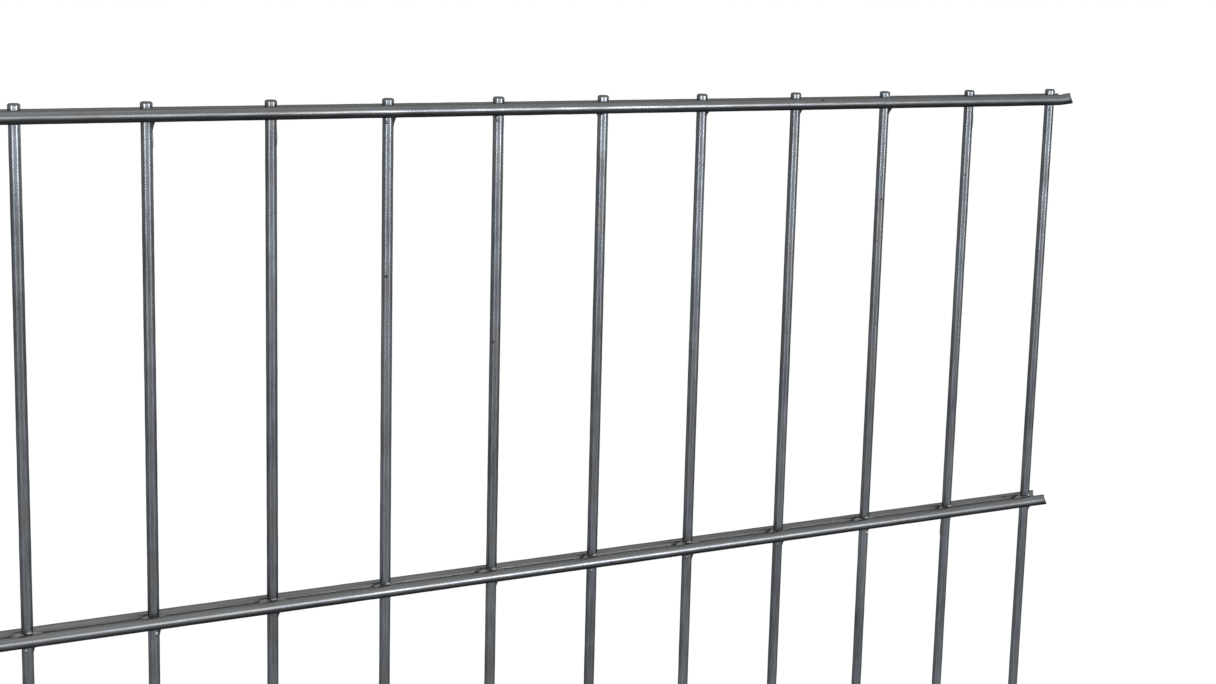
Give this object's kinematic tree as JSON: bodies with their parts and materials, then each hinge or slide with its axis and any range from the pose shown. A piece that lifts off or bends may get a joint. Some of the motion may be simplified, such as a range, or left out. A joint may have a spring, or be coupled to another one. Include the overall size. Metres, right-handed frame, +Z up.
{
  "type": "double wire mesh fence panel",
  "caption": "Flat welded fence panel of round galvanised wires: uprights held between a front and a back cross wire in every row.",
  "frame": {"origin": "middle of the panel's bottom edge, at the foot of the middle upright", "axes": "+X along the panel to the right as seen from the front, +Y from front to back, +Z up"},
  "size_m": [2.022, 0.0142, 1.03],
  "materials": {
    "upright_wire": "hot-dip galvanised, dull",
    "cross_wire": "hot-dip galvanised, dull",
    "weld_zinc": "zinc bead, satin"
  },
  "bodies": {
    "root": {"upright_01": "upright_wire", "upright_02": "upright_wire", "upright_03": "upright_wire", "upright_04": "upright_wire", "upright_05": "upright_wire", "upright_06": "upright_wire", "upright_07": "upright_wire", "upright_08": "upright_wire", "upright_09": "upright_wire", "upright_10": "upright_wire", "upright_11": "upright_wire", "upright_12": "upright_wire", "upright_13": "upright_wire", "upright_14": "upright_wire", "upright_15": "upright_wire", "upright_16": "upright_wire", "upright_17": "upright_wire", "upright_18": "upright_wire", "upright_19": "upright_wire", "upright_20": "upright_wire", "upright_21": "upright_wire", "upright_22": "upright_wire", "upright_23": "upright_wire", "upright_24": "upright_wire", "upright_25": "upright_wire", "upright_26": "upright_wire", "upright_27": "upright_wire", "upright_28": "upright_wire", "upright_29": "upright_wire", "upright_30": "upright_wire", "upright_31": "upright_wire", "upright_32": "upright_wire", "upright_33": "upright_wire", "upright_34": "upright_wire", "upright_35": "upright_wire", "upright_36": "upright_wire", "upright_37": "upright_wire", "upright_38": "upright_wire", "upright_39": "upright_wire", "upright_40": "upright_wire", "upright_41": "upright_wire", "row_1_front_wire": "cross_wire", "row_1_back_wire": "cross_wire", "row_1_welds": "weld_zinc", "row_2_front_wire": "cross_wire", "row_2_back_wire": "cross_wire", "row_2_welds": "weld_zinc", "row_3_front_wire": "cross_wire", "row_3_back_wire": "cross_wire", "row_3_welds": "weld_zinc", "row_4_front_wire": "cross_wire", "row_4_back_wire": "cross_wire", "row_4_welds": "weld_zinc", "row_5_front_wire": "cross_wire", "row_5_back_wire": "cross_wire", "row_5_welds": "weld_zinc", "row_6_front_wire": "cross_wire", "row_6_back_wire": "cross_wire", "row_6_welds": "weld_zinc"}
  },
  "joints": []
}
